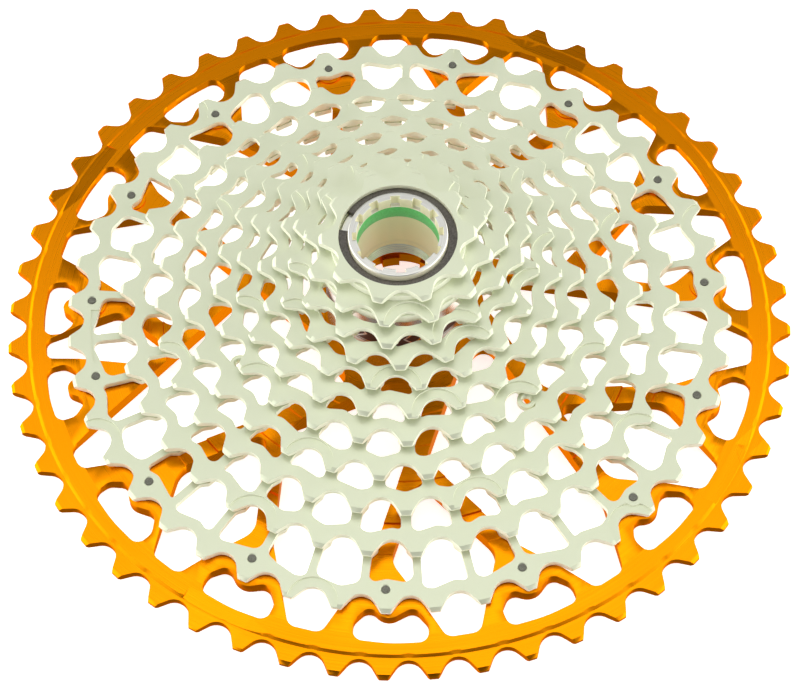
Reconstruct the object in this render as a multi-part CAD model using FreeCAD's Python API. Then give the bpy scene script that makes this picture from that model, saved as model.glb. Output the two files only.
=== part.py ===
import FreeCAD, Part
import math
import os

from FreeCAD import Vector

# Twelve-speed bicycle cassette. Millimetres and degrees.
# +Z runs along the axis from the large cog's back face towards the small cogs.

# ---- Chain and cog spacing -------------------------------------------------------------------
CHAIN_PITCH = 12.7            # half-inch bicycle chain
SEAT_R = 3.9                  # radius of the roller seat between two teeth
TIP_WIDTH = 2.3               # width of a tooth at its tip
PLATE = 1.8                   # thickness of a steel cog
RIM = 2.7                     # thickness of the large cog's rim
COG_STEP = 3.65               # from one steel cog's face to the next
SMALL_COG_STEP = 4.05         # the last two steps are a little wider
FIRST_COG_TOP = 6.3           # outer face of the 44-tooth cog

FLANK_LEANS = (15.0, 60.0)    # range of the flanks' lean from the radius

# teeth, angle of one tooth, height of the tips above the pitch circle
COGS = [
    (52, 4.26, 0.93),
    (44, 5.49, 0.70),
    (37, 0.50, 0.70),
    (32, 1.09, 0.70),
    (28, 7.20, 0.70),
    (24, 2.20, 0.70),
    (21, 0.10, 0.70),
    (18, 18.5, 0.60),
    (16, 0.40, 0.50),
    (14, 6.50, 0.40),
    (12, 21.3, 0.30),
    (10, 2.50, 0.05),
]

# ---- Tooth finish ----------------------------------------------------------------------------
TIP_BEVEL_WIDE = 0.9          # bevel on the outer face of the tips
TIP_BEVEL_DEEP = 0.8
BACK_BEVEL = 0.45
SHIFT_CUT_R = 6.6             # shallow round recess that lets the chain climb
SHIFT_CUT_DEEP = 0.6
SHIFT_CUTS = {                # angles of the recessed valleys, by tooth count
    44: (20, 75, 133, 205, 257, 313),
    37: (48, 150, 236, 328),
    32: (15, 110, 200, 292),
    28: (70, 160, 250, 340),
    24: (40, 130, 225, 315),
    21: (95, 190, 280, 10),
    18: (60, 150, 270, 345),
    16: (120, 215, 305),
    14: (75, 195, 290),
    12: (40, 165, 282),
}

# ---- Steel cone: bars between the cogs -------------------------------------------------------
BAR_WIDTH = {44: 2.1, 37: 2.7, 32: 3.1, 28: 3.7, 24: 4.0, 21: 4.0, 18: 3.7, 16: 3.8}
RING_WALL = 2.4               # from the roller seats' root circle to the windows
RING_WAVE = 0.9               # the windows' outer edge follows the teeth by this much
BAR_REACH = 1.6               # the bars end this far inside the next cog's root circle
BAR_END_HALF = 2.5            # half width of a bar at its inner end, below the post
NECK_REACH = 0.12             # where the bar starts to narrow, as a share of its length
SHOULDER_REACH = 0.5          # and where it has its own width
SHOULDER_MOST = 3.2
POST_IN = 1.4                 # the posts below a cog, from its root circle inwards
POST_OUT = 2.0                # and outwards
POST_SINK = 0.3               # their feet reach below the shift recesses
POST_HALF_IN = 2.3            # half widths at the two radii
POST_HALF_OUT = 1.9
POST_CORNER = 0.9
BAR_END_CORNER = 0.4          # corner radii of the windows, from the bar's end outwards
NECK_CORNER = 1.2
SHOULDER_CORNER = 1.8
WINDOW_CORNER = 2.6
WAVE_CORNER = 3.0

# ---- Fasteners -------------------------------------------------------------------------------
PIN_CIRCLE_R = 83.4
PIN_R = 1.05
PIN_FIT = 0.01
PIN_RECESS = 0.08
PIN_STEP = 24.543             # fourteen equal steps; the fifteenth is the short one
FIRST_PIN = 193.5
PIN_COUNT = 15
PIN_PAD_R = 2.4
PIN_WALL = 2.9                # the ring's inner edge passes a pin this far inside the pin circle
MILLED_RADII = (80.6, 83.4)   # shallow recess in the 44-tooth cog between the two closest pins
MILLED_ANGLES = (179.2, 190.8)
MILLED_DEEP = 0.35
BOSS_R = 6.2
BOSS_PAD_R = 3.8              # raised pad on which the steel rests
BOSS_TOP = FIRST_COG_TOP - PLATE
TOOL_HOLE_ANGLES = (61.0, 208.2, 313.8)   # tooling holes in the 28-tooth cog
TOOL_HOLE_CIRCLE_R = 47.65
TOOL_HOLE_R = 1.1
TOOL_PAD_R = 2.5

# ---- Large cog: rim, legs and spider ---------------------------------------------------------
TOOTH_BAND_R = 100.65         # outside this radius the tooth band is lower
BAND_BEVEL = 0.8              # width of the slope down to it
LOWER_EDGE = 0.6              # bevel round the cog's lower edge
STEP_DRAFT = 0.25             # lean of each step's face
SPOKE_FROM = 20.0             # a main spoke's centre line runs from here
SPOKE_TO = 72.0               # to here, measured from its foot
TOOTH_BAND_TOP = 2.25
LEG_FOOT_R = 94.6             # the legs rise from the rim's face at this radius
LEG_TOP_R = 87.0              # to their full height at this one
LEG_TOP = 4.1
HEART_OUT_R = 96.35           # pocket outside each boss, with a lobe each side of it
HEART_WIDTH = 19.3
HEART_CLOSE_WIDTH = 16.6      # the two pockets where the pins stand closer together
HEART_SIDE_R = 91.0
HEART_LOBE_R = 86.9
HEART_LOBE_INSET = 3.9
HEART_SHIFT = 1.7
WINDOW_OUT_R = 95.8           # gap between two pairs of legs
LEG_HALF = 9.7
CLOSE_LEG_HALF = 6.5
KNEE_R = 75.4
KNEE_HALF = 1.9
KNEE_SHIFT = -0.7             # the spoke leaves the boss a little to one side
SPOKE_WIDTH = 4.9
SPOKE_TANGENT_R = 17.8        # the main spokes' centre lines touch this circle
SPOKE_LEAN = -15.15           # their direction from the boss's radius
BRANCH_JOIN_R = 46.0          # where a secondary spoke meets its main spoke
BRANCH_JOIN_ANGLE = 7.66
LONG_JOIN_R = 43.5            # the longer secondary spoke beside the short pin step
LONG_JOIN_ANGLE = 12.8
LONG_KNEE_R = 77.5
LONG_KNEE_ANGLE = 3.4
LINK_R = 60.3                 # and the short link that joins it
LINK_ANGLE = 11.3
HUB_FLAT = 23.0               # the hub's straight edges, from the axis
HUB_TWIST = 28.0
RIM_CORNER = 3.0              # corner radii of the windows
KNEE_CORNER = 6.0
FORK_CORNER = 2.2
HUB_CORNER = 3.0
TRUNK_CORNER = 4.0
# radius and height of the turned steps on the spider, from the outside inwards
SPIDER_STEPS = [(72.7, 4.40), (64.0, 5.10), (52.0, 5.55), (42.0, 5.95), (33.0, 6.35), (27.5, 6.75)]
VALLEY_BEVEL_WIDE = 1.75      # bevel round each roller seat, at the rim's face
VALLEY_BEVEL_NARROW = 0.75    # and at the tooth band's face
RAMP_ANGLES = (72.6, 160.3, 251.5, 340.2)   # slanted flats that lift the chain on to the rim
RAMP_LINE = ((0.0, 100.65), (4.8, 97.0), (15.7, 97.0))   # degrees past their start, and radius
RAMP_LEAD = 2.0
RAMP_REACH = 25.0
RAMP_WIDTH = 16.0
RAMP_SLOPE = 5.7

# ---- Hub, sleeve, lock tube and their fits ---------------------------------------------------
FLANGE_TOP = SPIDER_STEPS[-1][1]
COLLAR_R = 17.55
COLLAR_TOP = 17.0
HUB_BORE_R = 15.5
SPLINE_BOTTOM = 8.35
SPLINE_TOP = 12.0
LEAD_IN_R = 19.8              # cone below the splines, at the back face
LEAD_OUT_R = 14.5             # and at the splines
SPLINE_MINOR_R = 13.0
SPLINE_MAJOR_R = 14.3
SPLINES = 8
SPLINE_ANGLE = 99.0
SPLINE_HALF = 10.0

SLEEVE_R = 19.4
SLEEVE_BORE_R = 17.6
SLEEVE_LID = 1.75
SEAT_FIT = 0.05

BEARING_R = 13.10             # bore of the 12-tooth cog, where the lock tube turns
RUNNING_FIT = 0.05
FLANGE_R = 15.2
FLANGE_THICK = 1.3
RECESS_R = 15.45
SMALL_RING_R = 17.6
GROOVE_R = 15.95
SNAP_OUT_R = 15.9
SNAP_IN_R = 13.2
SNAP_THICK = 1.2
SNAP_GAP = (147.0, 170.0)

TUBE_TOP = 44.05
TUBE_BOTTOM = 19.35
TUBE_R = 13.0
TUBE_LOWER_R = 12.6
TUBE_BORE_R = 10.9
THREAD_R = 10.2
THREAD_TOP = 23.75
SHOULDER_TOP = 25.45
RING_BOTTOM = 35.65
NOTCH_BOTTOM = 40.45
NOTCHES = 12
NOTCH_OUT_R = 11.85
NOTCH_IN_R = 10.8
LAND_ANGLE = 108.4
LAND_HALF = 8.8
GREEN_OUT_R = 12.1
GREEN_IN_R = 10.85
GREEN_COVER = 0.25            # the tube closes over the green ring by this much


# ---- Geometry helpers ------------------------------------------------------------------------
def polar(radius, angle):
    return Vector(radius * math.cos(math.radians(angle)), radius * math.sin(math.radians(angle)), 0)


def half_angle(half_width, radius):
    """Angle that a half width takes up at a radius."""
    return math.degrees(math.asin(half_width / radius))


def arc(first, middle, last):
    return Part.Arc(first, middle, last).toShape()


def line(first, last):
    return Part.LineSegment(first, last).toShape()


def rounded_wire(corners):
    """Closed wire of straight runs joined by tangent arcs, through (point, radius) corners."""
    edges = []
    count = len(corners)
    ends = []
    for index, (here, radius) in enumerate(corners):
        back = corners[index - 1][0] - here
        ahead = corners[(index + 1) % count][0] - here
        half = back.getAngle(ahead) / 2
        reach = min(radius / math.tan(half), 0.49 * back.Length, 0.49 * ahead.Length)
        back.normalize()
        ahead.normalize()
        if reach < 1e-3 or half > math.radians(89.5):
            ends.append((here, here, here))
            continue
        true_radius = reach * math.tan(half)
        inward = (back + ahead).normalize()
        middle = here + inward * (true_radius / math.sin(half) - true_radius)
        ends.append((here + back * reach, middle, here + ahead * reach))
    for index, (start, middle, end) in enumerate(ends):
        if (start - end).Length > 1e-6:
            edges.append(arc(start, middle, end))
        following = ends[(index + 1) % count][0]
        if (end - following).Length > 1e-6:
            edges.append(line(end, following))
    return Part.Wire(edges)


def castle_wire(inner_r, outer_r, teeth, angle, half):
    """Bore outline with inward teeth: arcs at inner_r, half degrees each side of every tooth."""
    step = 360.0 / teeth
    edges = []
    for index in range(teeth):
        centre = angle + index * step
        after = centre + step - half
        edges.append(arc(polar(inner_r, centre - half), polar(inner_r, centre), polar(inner_r, centre + half)))
        edges.append(line(polar(inner_r, centre + half), polar(outer_r, centre + half)))
        middle = centre + step / 2
        edges.append(arc(polar(outer_r, centre + half), polar(outer_r, middle), polar(outer_r, after)))
        edges.append(line(polar(outer_r, after), polar(inner_r, after)))
    return Part.Wire(edges)


def sector_wire(inner_r, outer_r, first, last):
    middle = (first + last) / 2
    return Part.Wire([
        arc(polar(inner_r, first), polar(inner_r, middle), polar(inner_r, last)),
        line(polar(inner_r, last), polar(outer_r, last)),
        arc(polar(outer_r, last), polar(outer_r, middle), polar(outer_r, first)),
        line(polar(outer_r, first), polar(inner_r, first)),
    ])


def circle_wire(radius):
    return Part.Wire(Part.makeCircle(radius))


def prism(wires, bottom, top):
    """Solid between two heights; the first wire is the outline and the others are holes."""
    face = Part.makeFace(wires, "Part::FaceMakerBullseye")
    solid = face.extrude(Vector(0, 0, top - bottom))
    solid.translate(Vector(0, 0, bottom))
    return solid


def turned(profile):
    """Solid of revolution about Z from (radius, height) corners."""
    points = [Vector(radius, 0, height) for radius, height in profile]
    face = Part.Face(Part.makePolygon(points + points[:1]))
    return face.revolve(Vector(0, 0, 0), Vector(0, 0, 1), 360)


def rod(radius, bottom, top, centre=Vector(0, 0, 0)):
    return Part.makeCylinder(radius, top - bottom, Vector(centre.x, centre.y, bottom))


def countersink(radius, top, centre, depth=0.3):
    """Cone that bevels the mouth of a hole."""
    base = Vector(centre.x, centre.y, top - depth)
    return Part.makeCone(radius, radius + 2 * depth, 2 * depth, base)


def save(name, shape):
    """Writes one node; a shape of several pieces stays a group of separate solids."""
    solids = shape.Solids
    part = solids[0] if len(solids) == 1 else Part.makeCompound(solids)
    part.exportStep("parts/" + name + ".step")
    box = part.BoundBox
    print(name, len(solids), part.isValid(), round(part.Volume), "z", round(box.ZMin, 2), round(box.ZMax, 2))


# ---- Teeth -----------------------------------------------------------------------------------
def pitch_radius(teeth):
    return CHAIN_PITCH / 2 / math.sin(math.pi / teeth)


def root_radius(teeth):
    return pitch_radius(teeth) - SEAT_R


def cog_top(index):
    """Height of a cog's outer face; 0 is the large cog."""
    if index == 0:
        return RIM
    regular = min(index, 9)
    return FIRST_COG_TOP + (regular - 1) * COG_STEP + (index - regular) * SMALL_COG_STEP


def flank_ends(teeth, tip, lean):
    """Both ends of the flank that leaves a roller seat at a lean from the radius."""
    tip_r = pitch_radius(teeth) + tip
    lean = math.radians(lean)
    seat_end = Vector(pitch_radius(teeth) - SEAT_R * math.sin(lean), SEAT_R * math.cos(lean), 0)
    outward = Vector(math.cos(lean), math.sin(lean), 0)
    along = seat_end.dot(outward)
    flank = -along + math.sqrt(along ** 2 - seat_end.Length ** 2 + tip_r ** 2)
    return seat_end, seat_end + outward * flank


def fitted_flank(teeth, tip):
    """The flank whose lean leaves a tip of the stated width, found by halving the range."""
    tip_half = half_angle(TIP_WIDTH / 2, pitch_radius(teeth) + tip)
    low, high = FLANK_LEANS
    while high - low > 0.001:
        lean = (low + high) / 2
        _, tip_end = flank_ends(teeth, tip, lean)
        if math.degrees(math.atan2(tip_end.y, tip_end.x)) < 180.0 / teeth - tip_half:
            low = lean
        else:
            high = lean
    return flank_ends(teeth, tip, low)


def tooth_wire(teeth, phase, tip):
    """Roller seats joined by straight flanks and round tips."""
    pitch_r = pitch_radius(teeth)
    tip_r = pitch_r + tip
    step = 360.0 / teeth
    seat_end, tip_end = fitted_flank(teeth, tip)

    def turn(point, side, angle):
        cosine = math.cos(math.radians(angle))
        sine = math.sin(math.radians(angle))
        y = point.y * side
        return Vector(point.x * cosine - y * sine, point.x * sine + y * cosine, 0)

    edges = []
    for index in range(teeth):
        valley = phase + (index + 0.5) * step
        before = turn(seat_end, -1, valley)
        after = turn(seat_end, 1, valley)
        edges.append(line(turn(tip_end, -1, valley), before))
        edges.append(arc(before, polar(pitch_r - SEAT_R, valley), after))
        edges.append(line(after, turn(tip_end, 1, valley)))
        tooth = valley + step / 2
        edges.append(arc(turn(tip_end, 1, valley), polar(tip_r, tooth), turn(tip_end, -1, valley + step)))
    return Part.Wire(edges)


def tip_bevels(teeth, tip, bottom, top):
    """Rings that bevel the tooth tips, wide on the outer face and narrow on the back."""
    tip_r = pitch_radius(teeth) + tip
    start = tip_r - TIP_BEVEL_WIDE
    end = tip_r + TIP_BEVEL_WIDE
    outer = turned([(start, top), (end, top - 2 * TIP_BEVEL_DEEP), (end, top + 1), (start, top + 1)])
    start = tip_r - BACK_BEVEL
    end = tip_r + BACK_BEVEL
    back = turned([(start, bottom), (end, bottom + 2 * BACK_BEVEL), (end, bottom - 1), (start, bottom - 1)])
    return [outer, back]


def shift_cuts(teeth, phase, top):
    """Round recesses about the valleys nearest to the listed angles."""
    step = 360.0 / teeth
    cuts = []
    for angle in SHIFT_CUTS.get(teeth, ()):
        valley = phase + (round((angle - phase) / step - 0.5) + 0.5) * step
        cuts.append(rod(SHIFT_CUT_R, top - SHIFT_CUT_DEEP, top + 1, polar(pitch_radius(teeth), valley)))
    return cuts


# ---- Steel cogs ------------------------------------------------------------------------------
def pin_angles():
    return [FIRST_PIN + number * PIN_STEP for number in range(PIN_COUNT)]


def turn_between(first, second):
    """Smallest turn from one angle to another, without its sign."""
    return abs((first - second + 180.0) % 360.0 - 180.0)


def ring_edge(teeth, phase, angle):
    """Inner edge of a cog's tooth ring: it comes inwards below each roller seat and at a pin."""
    wave = RING_WAVE * math.cos(math.radians(teeth * (angle - phase)))
    edge = root_radius(teeth) - RING_WALL + wave
    if teeth == COGS[1][0] and min(turn_between(angle, pin) for pin in pin_angles()) < 90.0 / teeth:
        edge = PIN_CIRCLE_R - PIN_WALL
    return edge


def window_corners(cog, inner_cog, tooth):
    """Corners of the gap between two bars, from the bar below one tooth of the next cog on."""
    teeth, phase, _ = cog
    inner_teeth, inner_phase, _ = inner_cog
    inner_root = root_radius(inner_teeth)
    ring_r = root_radius(teeth) - RING_WALL
    reach = ring_r - RING_WAVE - inner_root
    step = 360.0 / inner_teeth
    bar = BAR_WIDTH[teeth] / 2
    valley = inner_phase + (tooth + 0.5) * step
    side = []
    for radius, half_bar, rounding in (
        (inner_root - BAR_REACH, BAR_END_HALF, BAR_END_CORNER),
        (inner_root + NECK_REACH * reach, BAR_END_HALF, NECK_CORNER),
        (inner_root + min(SHOULDER_REACH * reach, SHOULDER_MOST), bar, SHOULDER_CORNER),
    ):
        side.append((radius, step / 2 - half_angle(half_bar, radius), rounding))
    outer_half = step / 2 - half_angle(bar, ring_r)
    corners = [(polar(radius, valley - offset), rounding) for radius, offset, rounding in side]
    first = valley - outer_half
    last = valley + outer_half
    corners.append((polar(ring_edge(teeth, phase, first), first), WINDOW_CORNER))
    half_step = 180.0 / teeth
    margin = 0.3 * half_step
    crest = math.ceil((first + margin - phase) / half_step)
    while phase + crest * half_step < last - margin:
        angle = phase + crest * half_step
        corners.append((polar(ring_edge(teeth, phase, angle), angle), WAVE_CORNER))
        crest += 1
    corners.append((polar(ring_edge(teeth, phase, last), last), WINDOW_CORNER))
    corners += [(polar(radius, valley + offset), rounding) for radius, offset, rounding in reversed(side)]
    return corners


def bar_outline(cog, inner_cog):
    """Inner outline of a steel cog: one bar below each tooth of the next cog."""
    corners = []
    for tooth in range(inner_cog[0]):
        corners += window_corners(cog, inner_cog, tooth)
    return rounded_wire(corners)


def posts(inner_cog, bottom, top):
    """Short posts that carry the next cog, one below each of its teeth."""
    teeth, phase, _ = inner_cog
    root = root_radius(teeth)
    made = []
    for tooth in range(teeth):
        angle = phase + tooth * 360.0 / teeth
        near = root - POST_IN, POST_HALF_IN
        far = root + POST_OUT, POST_HALF_OUT
        corners = []
        for side, (radius, half) in ((-1, near), (-1, far), (1, far), (1, near)):
            corners.append((polar(radius, angle + side * half_angle(half, radius)), POST_CORNER))
        made.append(prism([rounded_wire(corners)], bottom, top))
    return made


def finish_cog(body, cog, bottom, top):
    teeth, phase, tip = cog
    return body.cut(tip_bevels(teeth, tip, bottom, top) + shift_cuts(teeth, phase, top))


def steel_cog(index):
    """Tooth ring, bars and the posts below the next cog."""
    cog = COGS[index]
    inner_cog = COGS[index + 1]
    top = cog_top(index)
    bottom = top - PLATE
    body = prism([tooth_wire(*cog), bar_outline(cog, inner_cog)], bottom, top)
    body = finish_cog(body, cog, bottom, top)
    foot = top - SHIFT_CUT_DEEP - POST_SINK
    return body.fuse(posts(inner_cog, foot, cog_top(index + 1) - PLATE))


def cog_44():
    """The largest steel cog also takes the pins, each in a round pad."""
    top = cog_top(1)
    bottom = top - PLATE
    body = steel_cog(1)
    centres = [polar(PIN_CIRCLE_R, angle) for angle in pin_angles()]
    body = body.fuse([rod(PIN_PAD_R, bottom, top, centre) for centre in centres])
    teeth, phase, tip = COGS[1]
    valleys = [polar(pitch_radius(teeth), phase + (n + 0.5) * 360.0 / teeth) for n in range(teeth)]
    cuts = [rod(SEAT_R, bottom - 1, top + 1, centre) for centre in valleys]
    cuts += [rod(PIN_R + PIN_FIT, bottom - 1, top + 1, centre) for centre in centres]
    cuts += [countersink(PIN_R + PIN_FIT, top, centre) for centre in centres]
    cuts.append(prism([sector_wire(*MILLED_RADII, *MILLED_ANGLES)], top - MILLED_DEEP, top + 1))
    return body.cut(cuts)


def cog_28():
    """The 28-tooth cog has three small tooling holes beside its bars."""
    top = cog_top(4)
    bottom = top - PLATE
    centres = [polar(TOOL_HOLE_CIRCLE_R, angle) for angle in TOOL_HOLE_ANGLES]
    body = steel_cog(4).fuse([rod(TOOL_PAD_R, bottom, top, centre) for centre in centres])
    cuts = [rod(TOOL_HOLE_R, bottom - 1, top + 1, centre) for centre in centres]
    cuts += [countersink(TOOL_HOLE_R, top, centre, 0.45) for centre in centres]
    return body.cut(cuts)


def cog_14():
    """A closed ring that seats on the sleeve, with short windows below the 12-tooth valleys."""
    cog = COGS[9]
    inner_cog = COGS[10]
    top = cog_top(9)
    bottom = top - PLATE
    inner_teeth, inner_phase, _ = inner_cog
    step = 360.0 / inner_teeth
    near = root_radius(inner_teeth) - 0.2
    far = root_radius(cog[0]) - 2.0
    half_web = 2.0
    near_corner, far_corner, crown, crown_corner = 0.8, 0.9, 0.25, 6.0
    windows = []
    for index in range(inner_teeth):
        valley = inner_phase + (index + 0.5) * step
        half_near = step / 2 - half_angle(half_web, near)
        half_far = step / 2 - half_angle(half_web, far)
        windows.append(rounded_wire([
            (polar(near, valley - half_near), near_corner),
            (polar(far, valley - half_far), far_corner),
            (polar(far + crown, valley), crown_corner),
            (polar(far, valley + half_far), far_corner),
            (polar(near, valley + half_near), near_corner),
            (polar(near + crown, valley), crown_corner),
        ]))
    bore = circle_wire(SLEEVE_R + SEAT_FIT)
    body = prism([tooth_wire(*cog), bore] + windows, bottom, top)
    body = finish_cog(body, cog, bottom, top)
    collar = prism([circle_wire(root_radius(inner_teeth) + 0.6), bore], top, cog_top(10) - PLATE)
    return body.fuse(collar)


def cog_12():
    """A solid cog whose bore carries the lock tube."""
    cog = COGS[10]
    top = cog_top(10)
    bottom = top - PLATE
    body = prism([tooth_wire(*cog), circle_wire(BEARING_R)], bottom, top)
    return finish_cog(body, cog, bottom, top)


def snap_heights():
    """Bottom and top of the snap ring's groove."""
    bottom = cog_top(10) + RUNNING_FIT + FLANGE_THICK + RUNNING_FIT
    return bottom, bottom + SNAP_THICK


def cog_10():
    """The smallest cog stands on a plain ring, which is grooved for the snap ring."""
    cog = COGS[11]
    top = cog_top(11)
    bottom = top - PLATE
    groove_bottom, groove_top = snap_heights()
    body = prism([tooth_wire(*cog), circle_wire(RECESS_R)], bottom, top)
    body = body.cut(tip_bevels(cog[0], cog[2], bottom, top))
    body = body.fuse(prism([circle_wire(SMALL_RING_R), circle_wire(RECESS_R)], cog_top(10), bottom))
    return body.cut([rod(GROOVE_R, groove_bottom, groove_top)])


# ---- Large cog -------------------------------------------------------------------------------
class Edge:
    """A straight edge of a window, as a point and a direction in the plane."""

    def __init__(self, first, last, offset=0.0):
        self.way = (last - first).normalize()
        self.point = first + Vector(-self.way.y, self.way.x, 0) * offset

    def meet(self, other):
        cross = self.way.x * other.way.y - self.way.y * other.way.x
        gap = other.point - self.point
        along = (gap.x * other.way.y - gap.y * other.way.x) / cross
        return self.point + self.way * along


def window_wire(edges, radii):
    """Closed window whose corners are where each edge meets the next."""
    corners = []
    for index, radius in enumerate(radii):
        corners.append((edges[index].meet(edges[(index + 1) % len(edges)]), radius))
    return rounded_wire(corners)


def knee(pin):
    """Centre of a spoke where it leaves its boss."""
    return polar(KNEE_R, pin + KNEE_SHIFT)


def main_spoke(pin):
    """Outer and inner point of a main spoke's centre line."""
    heading = pin + SPOKE_LEAN
    foot = polar(SPOKE_TANGENT_R, heading + 90)
    return foot + polar(SPOKE_TO, heading), foot + polar(SPOKE_FROM, heading)


def leg(pin, side, half=LEG_HALF):
    """Window-side edge of a leg: side is -1 before the pin and +1 after it."""
    rim_end = polar(WINDOW_OUT_R, pin + side * half)
    return Edge(rim_end, polar(KNEE_R, pin + KNEE_SHIFT + side * KNEE_HALF))


def rim_chord(pin, next_pin, half=LEG_HALF, next_half=LEG_HALF):
    return Edge(polar(WINDOW_OUT_R, pin + half), polar(WINDOW_OUT_R, next_pin - next_half))


def spoke_edge(ends, side):
    outer, inner = ends
    return Edge(outer, inner, -side * SPOKE_WIDTH / 2)


def hub_edge(pin, next_pin):
    middle = (pin + next_pin) / 2 + HUB_TWIST
    centre = polar(HUB_FLAT, middle)
    return Edge(centre, centre + polar(10.0, middle + 90))


def heart_wire(pin, width, shift):
    """Pocket between the rim, two legs and the boss, with a bump round the boss."""
    half = width / 2
    lobe = Vector(HEART_LOBE_R - PIN_CIRCLE_R, half - HEART_LOBE_INSET, 0)
    touch = math.atan2(lobe.y, lobe.x) - math.acos(min(1.0, BOSS_R / lobe.Length))
    peak_r = PIN_CIRCLE_R + BOSS_R / math.cos(touch)
    crown_r = HEART_OUT_R + half ** 2 / HEART_OUT_R / 2

    def place(radius, sideways, rounding):
        across = polar(sideways, pin + 90)
        return polar(radius, pin) + across, rounding

    return rounded_wire([
        place(HEART_OUT_R - 0.4, shift - half, 3.8),
        place(HEART_SIDE_R, shift - half, 3.2),
        place(HEART_LOBE_R, shift - half + HEART_LOBE_INSET, 2.6),
        place(peak_r, 0.3 * shift, BOSS_R),
        place(HEART_LOBE_R, shift + half - HEART_LOBE_INSET, 2.6),
        place(HEART_SIDE_R, shift + half, 3.2),
        place(HEART_OUT_R - 0.4, shift + half, 3.8),
        place(crown_r, shift, 40.0),
    ])


def heart_wires():
    """Pockets lean a little to one side, more so at the main spokes' bosses."""
    wires = []
    for number, pin in enumerate(pin_angles()):
        close = number in (0, PIN_COUNT - 1)
        width = HEART_CLOSE_WIDTH if close else HEART_WIDTH
        shift = HEART_SHIFT if number % 2 else HEART_SHIFT / 2
        wires.append(heart_wire(pin, width, shift))
    return wires


def paired_windows(pin, second, next_pin):
    """The closed window inside a forked spoke, and the long one up to the next spoke."""
    trunk = main_spoke(pin)
    join = polar(BRANCH_JOIN_R, pin + BRANCH_JOIN_ANGLE)
    branch = (knee(second), join)
    inside = window_wire(
        [rim_chord(pin, second), leg(second, -1), spoke_edge(branch, -1), spoke_edge(trunk, 1), leg(pin, 1)],
        [RIM_CORNER, KNEE_CORNER, FORK_CORNER, KNEE_CORNER, RIM_CORNER],
    )
    beyond = window_wire(
        [rim_chord(second, next_pin), leg(next_pin, -1), spoke_edge(main_spoke(next_pin), -1),
         hub_edge(pin, next_pin), spoke_edge(trunk, 1), spoke_edge(branch, 1), leg(second, 1)],
        [RIM_CORNER, KNEE_CORNER, HUB_CORNER, HUB_CORNER, TRUNK_CORNER, KNEE_CORNER, RIM_CORNER],
    )
    return [inside, beyond]


def wide_windows(pins):
    """The three windows where the pins stand closer together and the fork has three tines."""
    pin, second, third, next_pin = pins
    trunk = main_spoke(pin)
    join = polar(LONG_JOIN_R, pin + LONG_JOIN_ANGLE)
    long_branch = (polar(LONG_KNEE_R, third + LONG_KNEE_ANGLE), join)
    link = (knee(second), polar(LINK_R, second + LINK_ANGLE))
    inside = window_wire(
        [rim_chord(pin, second), leg(second, -1), spoke_edge(link, -1), spoke_edge(long_branch, -1),
         spoke_edge(trunk, 1), leg(pin, 1)],
        [RIM_CORNER, KNEE_CORNER, TRUNK_CORNER, FORK_CORNER, KNEE_CORNER, RIM_CORNER],
    )
    small = window_wire(
        [rim_chord(second, third, CLOSE_LEG_HALF, CLOSE_LEG_HALF), leg(third, -1, CLOSE_LEG_HALF),
         spoke_edge(long_branch, -1), spoke_edge(link, 1), leg(second, 1, CLOSE_LEG_HALF)],
        [FORK_CORNER, TRUNK_CORNER, FORK_CORNER, TRUNK_CORNER, FORK_CORNER],
    )
    beyond = window_wire(
        [rim_chord(third, next_pin), leg(next_pin, -1), spoke_edge(main_spoke(next_pin), -1),
         hub_edge(pin, next_pin), spoke_edge(trunk, 1), spoke_edge(long_branch, 1)],
        [RIM_CORNER, KNEE_CORNER, HUB_CORNER, HUB_CORNER, TRUNK_CORNER, RIM_CORNER],
    )
    return [inside, small, beyond]


def spider_windows():
    pins = pin_angles()
    # The last pin comes before the first one, a full turn later
    order = pins[1:] + [pins[0] + 360]
    windows = []
    for number in range(0, 12, 2):
        windows += paired_windows(order[number], order[number + 1], order[number + 2])
    windows += wide_windows([order[12], order[13], order[14], order[0] + 360])
    return windows


def large_cog_blank():
    """Turned outline: lowered tooth band, rim, stepped spider, hub flange and collar."""
    teeth, _, tip = COGS[0]
    tip_r = pitch_radius(teeth) + tip + 0.01
    profile = [(0, 0), (tip_r - LOWER_EDGE, 0), (tip_r, LOWER_EDGE), (tip_r, TOOTH_BAND_TOP - TIP_BEVEL_DEEP),
               (tip_r - TIP_BEVEL_WIDE, TOOTH_BAND_TOP), (TOOTH_BAND_R, TOOTH_BAND_TOP),
               (TOOTH_BAND_R - BAND_BEVEL, RIM), (LEG_FOOT_R, RIM), (LEG_TOP_R, LEG_TOP)]
    height = LEG_TOP
    for radius, step_top in SPIDER_STEPS:
        profile += [(radius, height), (radius - STEP_DRAFT, step_top)]
        height = step_top
    profile += [(COLLAR_R, FLANGE_TOP), (COLLAR_R, COLLAR_TOP), (0, COLLAR_TOP)]
    return turned(profile)


def ramp_wedge(start, end, before, after):
    """Space above a plane that falls outwards from the line between two points of the rim's face."""
    along = end - start
    length = before + along.Length + after
    wedge = Part.makeBox(length, RAMP_WIDTH, 2 * RIM, Vector(-before, 0, 0))
    wedge.rotate(Vector(0, 0, 0), Vector(1, 0, 0), -RAMP_SLOPE)
    wedge.rotate(Vector(0, 0, 0), Vector(0, 0, 1), math.degrees(math.atan2(along.y, along.x)))
    wedge.translate(Vector(start.x, start.y, RIM))
    return wedge


def ramp_cuts():
    """Flats where the chain climbs on to the large cog, each inside a line with one bend."""
    cuts = []
    for angle in RAMP_ANGLES:
        start, bend, end = [polar(radius, angle - past) for past, radius in RAMP_LINE]
        first = ramp_wedge(start, bend, RAMP_LEAD, RAMP_REACH)
        second = ramp_wedge(bend, end, RAMP_REACH, 0)
        cuts.append(first.common(second))
    return cuts


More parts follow.
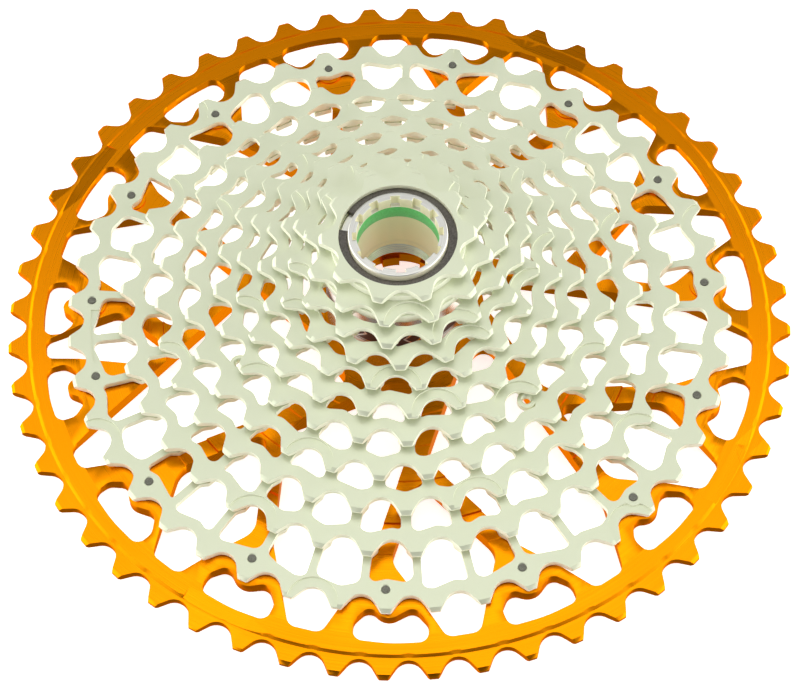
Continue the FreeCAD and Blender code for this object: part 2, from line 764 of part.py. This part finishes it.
def valley_bevels():
    """Cones about the roller seats, which leave a bright crescent where the rim meets each seat."""
    teeth, phase, _ = COGS[0]
    slope = (VALLEY_BEVEL_WIDE - VALLEY_BEVEL_NARROW) / (RIM - TOOTH_BAND_TOP)
    wide = SEAT_R + VALLEY_BEVEL_WIDE + slope
    cones = []
    for index in range(teeth):
        centre = polar(pitch_radius(teeth), phase + (index + 0.5) * 360.0 / teeth)
        base = Vector(centre.x, centre.y, TOOTH_BAND_TOP)
        cones.append(Part.makeCone(SEAT_R + VALLEY_BEVEL_NARROW, wide, RIM + 1 - TOOTH_BAND_TOP, base))
    return cones


def cog_52():
    """Rim, legs, bosses, spider and splined hub: one aluminium piece, before it is divided."""
    wires = [tooth_wire(*COGS[0])]
    wires += heart_wires()
    wires += spider_windows()
    body = prism(wires, -1, COLLAR_TOP + 1).common(large_cog_blank())
    centres = [polar(PIN_CIRCLE_R, angle) for angle in pin_angles()]
    body = body.fuse([rod(BOSS_PAD_R, 0, BOSS_TOP, centre) for centre in centres])
    spline = castle_wire(SPLINE_MINOR_R, SPLINE_MAJOR_R, SPLINES, SPLINE_ANGLE, SPLINE_HALF)
    cuts = [prism([spline], -1, SPLINE_TOP), rod(HUB_BORE_R, SPLINE_TOP, COLLAR_TOP + 1)]
    cuts.append(Part.makeCone(LEAD_IN_R, LEAD_OUT_R, SPLINE_BOTTOM))
    cuts += [rod(PIN_R + PIN_FIT, -1, BOSS_TOP + 1, centre) for centre in centres]
    return body.cut(cuts + valley_bevels() + ramp_cuts())


def save_cog_52():
    """Divides the large cog at two turned steps: rim, seven spider arms and splined hub."""
    body = cog_52()
    rim_line = rod(SPIDER_STEPS[0][0], -1, COLLAR_TOP + 1)
    hub_line = rod(SPIDER_STEPS[-1][0], -1, COLLAR_TOP + 1)
    save("sprocket_52t", body.cut([rim_line]))
    save("driver_hub", body.common([hub_line]))
    arms = body.common([rim_line.cut(hub_line)]).Solids
    arms.sort(key=lambda arm: math.atan2(arm.CenterOfMass.y, arm.CenterOfMass.x))
    for number, arm in enumerate(arms, 1):
        save("spider_arm_%d" % number, arm)


# ---- Sleeve, tube, rings and pins ------------------------------------------------------------
def support_sleeve():
    top = cog_top(10) - PLATE
    return turned([(SLEEVE_BORE_R, FLANGE_TOP), (SLEEVE_R, FLANGE_TOP), (SLEEVE_R, top), (BEARING_R, top),
                   (BEARING_R, top - SLEEVE_LID), (SLEEVE_BORE_R, top - SLEEVE_LID)])


def green_top():
    return NOTCH_BOTTOM - GREEN_COVER


def lock_tube():
    """Flanged tube with tool notches at the top and a threaded bore at the bottom."""
    journal_bottom = cog_top(10) - PLATE - SLEEVE_LID - 0.5
    flange_bottom = cog_top(10) + RUNNING_FIT
    flange_top = flange_bottom + FLANGE_THICK
    body = turned([
        (THREAD_R, TUBE_BOTTOM), (TUBE_LOWER_R, TUBE_BOTTOM), (TUBE_LOWER_R, journal_bottom),
        (BEARING_R - RUNNING_FIT, journal_bottom), (BEARING_R - RUNNING_FIT, flange_bottom),
        (FLANGE_R, flange_bottom), (FLANGE_R, flange_top), (TUBE_R, flange_top), (TUBE_R, TUBE_TOP - 0.25),
        (TUBE_R - 0.25, TUBE_TOP), (NOTCH_IN_R, TUBE_TOP), (NOTCH_IN_R, green_top()),
        (GREEN_OUT_R, green_top()), (GREEN_OUT_R, RING_BOTTOM), (TUBE_BORE_R, RING_BOTTOM),
        (TUBE_BORE_R, SHOULDER_TOP), (THREAD_R, THREAD_TOP),
    ])
    notches = castle_wire(NOTCH_IN_R, NOTCH_OUT_R, NOTCHES, LAND_ANGLE, LAND_HALF)
    return body.cut([prism([notches], NOTCH_BOTTOM, TUBE_TOP + 1)])


def green_ring():
    return turned([(GREEN_IN_R, RING_BOTTOM), (GREEN_OUT_R, RING_BOTTOM), (GREEN_OUT_R, green_top()),
                   (GREEN_IN_R, green_top())])


def snap_ring():
    bottom, top = snap_heights()
    return prism([sector_wire(SNAP_IN_R, SNAP_OUT_R, SNAP_GAP[1], SNAP_GAP[0] + 360)], bottom, top)


def cog_pin(angle):
    return rod(PIN_R, 0, cog_top(1) - PIN_RECESS, polar(PIN_CIRCLE_R, angle))


def main():
    os.makedirs("parts", exist_ok=True)
    save_cog_52()
    special = {1: cog_44, 4: cog_28, 9: cog_14, 10: cog_12, 11: cog_10}
    for index in range(1, len(COGS)):
        shape = special[index]() if index in special else steel_cog(index)
        save("sprocket_%dt" % COGS[index][0], shape)
    save("support_sleeve", support_sleeve())
    save("lock_tube", lock_tube())
    save("green_ring", green_ring())
    save("snap_ring", snap_ring())
    for number, angle in enumerate(pin_angles(), 1):
        save("pin_%02d" % number, cog_pin(angle))


main()
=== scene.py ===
import math

import bmesh
import bpy
from mathutils import Matrix, Vector


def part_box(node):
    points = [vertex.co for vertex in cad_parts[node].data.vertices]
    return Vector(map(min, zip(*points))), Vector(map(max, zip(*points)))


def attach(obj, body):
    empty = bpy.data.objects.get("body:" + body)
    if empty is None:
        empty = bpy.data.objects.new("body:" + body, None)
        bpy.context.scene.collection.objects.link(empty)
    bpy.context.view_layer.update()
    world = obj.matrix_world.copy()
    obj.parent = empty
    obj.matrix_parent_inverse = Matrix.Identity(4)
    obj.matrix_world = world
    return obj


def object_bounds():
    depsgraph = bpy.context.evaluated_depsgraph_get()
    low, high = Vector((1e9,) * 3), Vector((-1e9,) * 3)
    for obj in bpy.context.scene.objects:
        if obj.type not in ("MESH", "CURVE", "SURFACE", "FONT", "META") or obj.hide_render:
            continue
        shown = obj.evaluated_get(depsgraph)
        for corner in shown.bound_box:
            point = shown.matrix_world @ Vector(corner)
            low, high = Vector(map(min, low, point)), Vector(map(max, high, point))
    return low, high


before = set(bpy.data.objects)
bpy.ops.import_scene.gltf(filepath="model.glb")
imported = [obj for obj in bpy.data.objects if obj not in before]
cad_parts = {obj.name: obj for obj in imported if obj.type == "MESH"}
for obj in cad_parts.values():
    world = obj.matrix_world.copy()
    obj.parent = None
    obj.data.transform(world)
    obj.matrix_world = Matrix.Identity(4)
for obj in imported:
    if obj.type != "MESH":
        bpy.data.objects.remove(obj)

MM = 0.001
CAD_BOX = [list(corner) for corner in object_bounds()]

# Camera: the object is seen from the front and above, with a slight roll
CAMERA_PLACE = Vector((1.48, -380.0, 628.95)) * MM
CAMERA_ELEVATION = 59.342
CAMERA_ROLL = -0.677
CAMERA_LENS = 119.887
SENSOR_WIDTH = 36.0
CAMERA_CLIP = (0.01, 20.0)

# Light: level of the tent behind the object, by the sine of the height above the horizon
TENT = [
    (-1.0, 0.8), (-0.1, 0.8), (0.3, 0.55), (0.62, 0.15),
    (0.76, 0.19), (0.86, 0.60), (0.93, 1.6), (1.0, 2.4),
]
TENT_MOST = 3.0
FRONT_SHARE = 0.35            # the tent's front is darker than its back by this factor
FRONT_FADE = (-0.45, 0.10)    # over this range of the direction's Y
SIDE_LEVEL = 2.1              # and bright panels stand on both sides
SIDE_FADE = (0.45, 0.80)      # over this range of the direction's X
LAMPS = [                     # name, place, size, watts
    ("front_left", (-0.7, -0.9, 0.35), (0.7, 0.4), 0.45),
    ("front_right", (0.8, -0.9, 0.35), (0.7, 0.4), 0.35),
    ("overhead", (0.0, 0.17, 0.50), (0.6, 0.2), 0.28),
]
LAMP_TARGET = Vector((0, 0, 20)) * MM

# Floor: its size in metres, its gap below the object in millimetres, and its own light
FLOOR_SIZE = 8.0
FLOOR_GAP = 0.02
FLOOR_GLOW = 0.72

# Edge rounding of the machined pieces, in millimetres
EDGE_ROUND = {"sprocket_52t": 0.28}
COG_EDGE_ROUND = 0.16
PLAIN_EDGES = ("pin_", "spider_arm_", "driver_hub")   # nodes whose edges stay as they are
SMALL_EDGE_ROUND = 0.12
SHARP_ANGLE = 38.0            # edges that turn by fewer degrees stay as they are
WELD_REACH = 0.0005

# Thread inside the lock tube
THREAD_PITCH = 0.8
THREAD_DEPTH = 0.36
THREAD_LENGTH = 4.4
THREAD_BORE_R = 10.2
THREAD_STEPS = 120            # divisions of one turn
THREAD_FADE = 0.2             # part of a turn over which each end rises
THREAD_LEAST = 0.02           # share of the depth that is left at the very ends
THREAD_SINK = 0.005           # how far the ridge's foot stands off the bore
THREAD_SECTION = ((0, -0.40), (1, -0.11), (1, 0.11), (0, 0.40))   # shares of depth and pitch

# Etched band round the sleeve: its heights, then the marks as shares of one diamond's space
BAND_LOW = 19.2
BAND_HIGH = 26.8
DIAMONDS = 16
DIAMOND_REACH = 0.33
DIAMOND_LINE = 0.045
BORDER_PLACE = 0.43
BORDER_LINE = 0.025


# ---- Node helpers ----------------------------------------------------------------------------
class Nodes:
    """A node tree under construction, with short calls for the nodes that it uses."""

    def __init__(self, tree):
        self.tree = tree

    def node(self, kind, **settings):
        made = self.tree.nodes.new(kind)
        for key, value in settings.items():
            setattr(made, key, value)
        return made

    def link(self, source, target):
        self.tree.links.new(source, target)

    def feed(self, socket, value):
        """A socket takes either a number, a colour or another node's output."""
        if isinstance(value, bpy.types.NodeSocket):
            self.link(value, socket)
        else:
            socket.default_value = value

    def math(self, operation, first, second=0.0, third=None):
        made = self.node("ShaderNodeMath", operation=operation)
        self.feed(made.inputs[0], first)
        self.feed(made.inputs[1], second)
        if third is not None:
            self.feed(made.inputs[2], third)
        return made.outputs[0]

    def near(self, value, place, reach):
        """1 where the value is within reach of a place, and 0 elsewhere."""
        distance = self.math("ABSOLUTE", self.math("SUBTRACT", value, place))
        return self.math("LESS_THAN", distance, reach)

    def vector(self, x, y, z):
        made = self.node("ShaderNodeCombineXYZ")
        for socket, value in zip(made.inputs, (x, y, z)):
            self.feed(socket, value)
        return made.outputs[0]

    def noise(self, vector, scale, detail=3.0, roughness=0.5):
        made = self.node("ShaderNodeTexNoise")
        self.link(vector, made.inputs["Vector"])
        made.inputs["Scale"].default_value = scale
        made.inputs["Detail"].default_value = detail
        made.inputs["Roughness"].default_value = roughness
        return made.outputs["Fac"]

    def spread(self, value, low, high, from_low=0.25, from_high=0.75):
        """The value, carried over from one range to another and kept inside it."""
        made = self.node("ShaderNodeMapRange")
        self.link(value, made.inputs["Value"])
        ends = {"From Min": from_low, "From Max": from_high, "To Min": low, "To Max": high}
        for name, number in ends.items():
            made.inputs[name].default_value = number
        return made.outputs["Result"]


class Shader(Nodes):
    """A material under construction."""

    def __init__(self, name):
        self.material = bpy.data.materials.new(name)
        self.material.use_nodes = True
        super().__init__(self.material.node_tree)
        self.surface = self.tree.nodes["Principled BSDF"]

    def place(self):
        """The piece's own coordinates in millimetres: x, y, z, radius and angle about the axis."""
        split = self.node("ShaderNodeSeparateXYZ")
        self.link(self.node("ShaderNodeTexCoord").outputs["Object"], split.inputs[0])
        x, y, z = (self.math("MULTIPLY", out, 1 / MM) for out in split.outputs)
        squared = self.math("ADD", self.math("MULTIPLY", x, x), self.math("MULTIPLY", y, y))
        return x, y, z, self.math("SQRT", squared), self.math("ARCTAN2", y, x)

    def mix(self, factor, first, second):
        """Blend of two colours, each given as red, green and blue or as a node's output."""
        made = self.node("ShaderNodeMix", data_type="RGBA")
        self.feed(made.inputs["Factor"], factor)
        # Sockets of this node are found by number, because their names repeat for every type
        for number, colour in ((6, first), (7, second)):
            self.feed(made.inputs[number], (*colour, 1) if isinstance(colour, tuple) else colour)
        return made.outputs[2]

    def blend(self, value, first, second):
        """Two colours, blended where a noise value runs through its middle range."""
        return self.mix(self.spread(value, 0.0, 1.0), first, second)

    def wallness(self):
        """1 on upright walls and 0 on faces that look along the axis."""
        split = self.node("ShaderNodeSeparateXYZ")
        self.link(self.node("ShaderNodeTexCoord").outputs["Normal"], split.inputs[0])
        return self.spread(self.math("ABSOLUTE", split.outputs["Z"]), 1.0, 0.0, 0.25, 0.8)

    def bump(self, height, distance, strength=1.0, before=None):
        made = self.node("ShaderNodeBump")
        self.link(height, made.inputs["Height"])
        made.inputs["Distance"].default_value = distance * MM
        made.inputs["Strength"].default_value = strength
        if before is not None:
            self.link(before, made.inputs["Normal"])
        return made.outputs["Normal"]

    def finish(self, **values):
        for name, value in values.items():
            self.feed(self.surface.inputs[name.replace("_", " ")], value)
        return self.material


def turned_lines(shader, pitch, wander=1.5):
    """Uneven lines round the axis, such as a lathe leaves, as a value from 0 to 1."""
    _, _, z, radius, angle = shader.place()
    across = shader.math("ADD", radius, z)
    along = shader.math("MULTIPLY", angle, wander)
    vector = shader.vector(shader.math("DIVIDE", across, pitch), along, 0.0)
    return shader.noise(vector, scale=1.0, detail=2.0, roughness=0.6)


def grain(shader, size, detail=2.0):
    """Fine even noise with the given grain size."""
    x, y, z, _, _ = shader.place()
    return shader.noise(shader.vector(x, y, z), 1.0 / size, detail)


# ---- Materials -------------------------------------------------------------------------------
def orange_anodised():
    shader = Shader("orange_anodised")
    lines = turned_lines(shader, pitch=0.22)
    broad = grain(shader, size=22.0)
    fine = grain(shader, size=0.35)
    tone = shader.blend(broad, (0.875, 0.278, 0.001), (0.91, 0.31, 0.002))
    tone = shader.mix(shader.spread(lines, 0.0, 0.35), tone, (0.86, 0.20, 0.001))
    # Painted shade: upright walls are darkened towards deep brown-orange, standing in for the
    # shade in the pockets and the light bounced between orange faces.
    tone = shader.mix(shader.math("MULTIPLY", shader.wallness(), 0.35), tone, (0.50, 0.11, 0.001))
    normal = shader.bump(lines, distance=0.012, strength=0.8)
    normal = shader.bump(fine, distance=0.006, strength=0.6, before=normal)
    return shader.finish(
        Base_Color=tone,
        Metallic=1.0,
        Roughness=shader.spread(lines, 0.25, 0.35),
        Specular_Tint=(1.0, 0.45, 0.04, 1),
        Normal=normal,
    )


def satin_steel():
    shader = Shader("satin_steel")
    broad = grain(shader, size=14.0)
    blasted = grain(shader, size=0.16)
    tone = shader.blend(broad, (0.625, 0.665, 0.49), (0.67, 0.705, 0.54))
    tone = shader.mix(shader.spread(blasted, 0.0, 0.15), tone, (0.56, 0.60, 0.42))
    wall = shader.wallness()
    # Painted light: upright walls take a lighter cream colour, standing in for the light that
    # falls on them from the front and from below.
    tone = shader.mix(wall, tone, (0.90, 0.92, 0.74))
    normal = shader.bump(blasted, distance=0.006, strength=0.7)
    return shader.finish(
        Base_Color=tone,
        Metallic=shader.spread(wall, 0.6, 0.25),
        Roughness=shader.spread(broad, 0.46, 0.56),
        Specular_Tint=(1.0, 1.0, 0.92, 1),
        Normal=normal,
    )


def pin_steel():
    shader = Shader("pin_steel")
    fine = grain(shader, size=0.3)
    tone = shader.blend(fine, (0.10, 0.10, 0.08), (0.22, 0.22, 0.18))
    normal = shader.bump(fine, distance=0.02, strength=0.8)
    return shader.finish(Base_Color=tone, Metallic=0.9, Roughness=0.5, Normal=normal)


def etched_sleeve():
    """Bright sleeve with a dark band that carries a row of plain diamonds between two lines."""
    shader = Shader("etched_sleeve")
    _, _, z, _, angle = shader.place()
    height = shader.math("DIVIDE", shader.math("SUBTRACT", z, BAND_LOW), BAND_HIGH - BAND_LOW)
    around = shader.math("FRACT", shader.math("MULTIPLY", angle, DIAMONDS / (2 * math.pi)))
    above = shader.math("GREATER_THAN", height, 0.0)
    below = shader.math("LESS_THAN", height, 1.0)
    band = shader.math("MULTIPLY", above, below)
    side = shader.math("ABSOLUTE", shader.math("SUBTRACT", around, 0.5))
    rise = shader.math("ABSOLUTE", shader.math("SUBTRACT", height, 0.5))
    outline = shader.near(shader.math("ADD", side, rise), DIAMOND_REACH, DIAMOND_LINE)
    border = shader.near(rise, BORDER_PLACE, BORDER_LINE)
    marks = shader.math("MAXIMUM", outline, border)
    dark = shader.math("MULTIPLY", band, shader.math("SUBTRACT", 1.0, marks))
    lines = turned_lines(shader, pitch=0.18)
    bare = shader.blend(lines, (0.60, 0.54, 0.46), (0.74, 0.68, 0.58))
    tone = shader.mix(dark, bare, (0.10, 0.045, 0.03))
    rough = shader.math("ADD", 0.26, shader.math("MULTIPLY", dark, 0.22))
    normal = shader.bump(lines, distance=0.006, strength=0.7)
    return shader.finish(Base_Color=tone, Metallic=1.0, Roughness=rough, Normal=normal)


def turned_steel():
    shader = Shader("turned_steel")
    lines = turned_lines(shader, pitch=0.2)
    tone = shader.blend(lines, (0.62, 0.61, 0.56), (0.76, 0.76, 0.72))
    wall = shader.wallness()
    # Painted light: upright walls, the bore among them, take a bright beige, standing in for the
    # light that falls into the bore from above.
    tone = shader.mix(wall, tone, (0.98, 0.93, 0.72))
    normal = shader.bump(lines, distance=0.008, strength=0.8)
    metal = shader.spread(wall, 1.0, 0.3)
    rough = shader.spread(wall, 0.30, 0.5)
    return shader.finish(Base_Color=tone, Metallic=metal, Roughness=rough, Normal=normal)


def spring_steel():
    shader = Shader("spring_steel")
    fine = grain(shader, size=0.5)
    tone = shader.blend(fine, (0.075, 0.068, 0.06), (0.14, 0.13, 0.115))
    normal = shader.bump(fine, distance=0.01, strength=0.6)
    return shader.finish(Base_Color=tone, Metallic=0.85, Roughness=0.36, Normal=normal)


def green_polymer():
    shader = Shader("green_polymer")
    fine = grain(shader, size=0.6)
    tone = shader.blend(fine, (0.13, 0.60, 0.19), (0.17, 0.72, 0.25))
    normal = shader.bump(fine, distance=0.01, strength=0.5)
    return shader.finish(Base_Color=tone, Roughness=0.42, Normal=normal)


def floor_white():
    """A bright table: mostly its own light, with a faint shadow left under the object."""
    shader = Shader("floor_white")
    shader.finish(Base_Color=(0.9, 0.9, 0.9, 1), Roughness=0.9)
    shader.surface.inputs["Emission Color"].default_value = (1, 1, 1, 1)
    shader.surface.inputs["Emission Strength"].default_value = FLOOR_GLOW
    return shader.material


# ---- CAD nodes -------------------------------------------------------------------------------
def material_names():
    """Which finish each CAD node takes."""
    orange = orange_anodised()
    finishes = {
        "sprocket_52t": orange,
        "driver_hub": orange,
        "support_sleeve": etched_sleeve(),
        "lock_tube": turned_steel(),
        "green_ring": green_polymer(),
        "snap_ring": spring_steel(),
    }
    steel = satin_steel()
    pin = pin_steel()
    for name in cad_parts:
        if name.startswith("sprocket_"):
            finishes.setdefault(name, steel)
        elif name.startswith("spider_arm_"):
            finishes[name] = orange
        elif name.startswith("pin_"):
            finishes[name] = pin
    return finishes


def round_edges(piece, width):
    """Joins the facets of a CAD node and breaks its sharp edges."""
    weld = piece.modifiers.new("weld", "WELD")
    weld.merge_threshold = WELD_REACH * MM
    bevel = piece.modifiers.new("edges", "BEVEL")
    bevel.width = width * MM
    bevel.segments = 2
    bevel.limit_method = "ANGLE"
    bevel.angle_limit = math.radians(SHARP_ANGLE)
    bevel.use_clamp_overlap = True
    bevel.harden_normals = False


def dress_cad_nodes():
    for name, material in material_names().items():
        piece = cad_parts[name]
        piece.data.materials.clear()
        piece.data.materials.append(material)
        if name.startswith(PLAIN_EDGES):
            continue
        default = COG_EDGE_ROUND if name.startswith("sprocket_") else SMALL_EDGE_ROUND
        round_edges(piece, EDGE_ROUND.get(name, default))


# ---- Thread ----------------------------------------------------------------------------------
def helix_ridge(name, radius, depth, pitch, length):
    """Inward thread ridge with a trapezoid section and faded ends."""
    mesh = bmesh.new()
    turns = (length - pitch) / pitch
    count = int(turns * THREAD_STEPS)
    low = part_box("lock_tube")[0].z + 0.5 * pitch * MM
    rings = []
    for step in range(count + 1):
        angle = 2 * math.pi * step / THREAD_STEPS
        fade = min(1.0, min(step, count - step) / (THREAD_FADE * THREAD_STEPS))
        rise_in = depth * max(fade, THREAD_LEAST)
        height = low + pitch * MM * step / THREAD_STEPS
        ring = []
        for share, rise in THREAD_SECTION:
            reach = (radius - share * rise_in) * MM
            x = reach * math.cos(angle)
            y = reach * math.sin(angle)
            ring.append(mesh.verts.new((x, y, height + rise * pitch * MM)))
        rings.append(ring)
    for first, second in zip(rings, rings[1:]):
        for corner in range(len(first)):
            after = (corner + 1) % len(first)
            mesh.faces.new((first[corner], second[corner], second[after], first[after]))
    mesh.faces.new(rings[0])
    mesh.faces.new(reversed(rings[-1]))
    bmesh.ops.recalc_face_normals(mesh, faces=mesh.faces)
    data = bpy.data.meshes.new(name)
    mesh.to_mesh(data)
    mesh.free()
    piece = bpy.data.objects.new(name, data)
    bpy.context.scene.collection.objects.link(piece)
    return piece


def add_thread():
    foot = THREAD_BORE_R - THREAD_SINK
    thread = helix_ridge("tube_thread", foot, THREAD_DEPTH, THREAD_PITCH, THREAD_LENGTH)
    thread.data.materials.append(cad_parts["lock_tube"].data.materials[0])
    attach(thread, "lock_tube")


# ---- Stage, light and camera -----------------------------------------------------------------
def add_floor():
    level = CAD_BOX[0][2] - FLOOR_GAP * MM
    bpy.ops.mesh.primitive_plane_add(size=FLOOR_SIZE, location=(0, 0, level))
    floor = bpy.context.object
    floor.name = "floor"
    floor.data.materials.append(floor_white())
    floor.visible_glossy = False


def add_softbox(name, place, size, energy):
    light = bpy.data.lights.new(name, "AREA")
    light.shape = "RECTANGLE"
    light.size, light.size_y = size
    light.energy = energy
    holder = bpy.data.objects.new(name, light)
    holder.location = place
    holder.rotation_mode = "QUATERNION"
    holder.rotation_quaternion = (LAMP_TARGET - Vector(place)).to_track_quat("-Z", "Y")
    bpy.context.scene.collection.objects.link(holder)


def add_tent():
    """World light: a tent with a bright top, bright sides and a dark front."""
    world = bpy.data.worlds.new("studio")
    bpy.context.scene.world = world
    world.use_nodes = True
    nodes = Nodes(world.node_tree)
    background = nodes.tree.nodes["Background"]
    background.inputs["Color"].default_value = (1, 1, 1, 1)
    split = nodes.node("ShaderNodeSeparateXYZ")
    nodes.link(nodes.node("ShaderNodeTexCoord").outputs["Generated"], split.inputs[0])
    x, y, z = split.outputs
    ramp = nodes.node("ShaderNodeValToRGB")
    nodes.link(nodes.spread(z, 0.0, 1.0, -1.0, 1.0), ramp.inputs["Fac"])
    for rise, _ in TENT[1:-1]:
        ramp.color_ramp.elements.new((rise + 1) / 2)
    for element, (_, level) in zip(ramp.color_ramp.elements, TENT):
        share = level / TENT_MOST
        element.color = (share, share, share, 1)
    front = nodes.spread(y, FRONT_SHARE, 1.0, *FRONT_FADE)
    side = nodes.spread(nodes.math("ABSOLUTE", x), 0.0, SIDE_LEVEL, *SIDE_FADE)
    back = nodes.math("MULTIPLY", ramp.outputs["Color"], TENT_MOST)
    nodes.link(nodes.math("MULTIPLY_ADD", back, front, side), background.inputs["Strength"])


def add_light():
    add_tent()
    for name, place, size, energy in LAMPS:
        add_softbox(name, place, size, energy)
    bpy.context.scene.view_settings.view_transform = "Standard"


def add_camera():
    data = bpy.data.cameras.new("camera")
    data.lens = CAMERA_LENS
    data.sensor_width = SENSOR_WIDTH
    data.clip_start, data.clip_end = CAMERA_CLIP
    camera = bpy.data.objects.new("camera", data)
    tilt = Matrix.Rotation(math.radians(90 - CAMERA_ELEVATION), 4, "X")
    roll = Matrix.Rotation(math.radians(CAMERA_ROLL), 4, "Z")
    camera.matrix_world = Matrix.Translation(CAMERA_PLACE) @ tilt @ roll
    bpy.context.scene.collection.objects.link(camera)
    bpy.context.scene.camera = camera


add_camera()
dress_cad_nodes()
add_thread()
add_floor()
add_light()

bpy.context.view_layer.update()
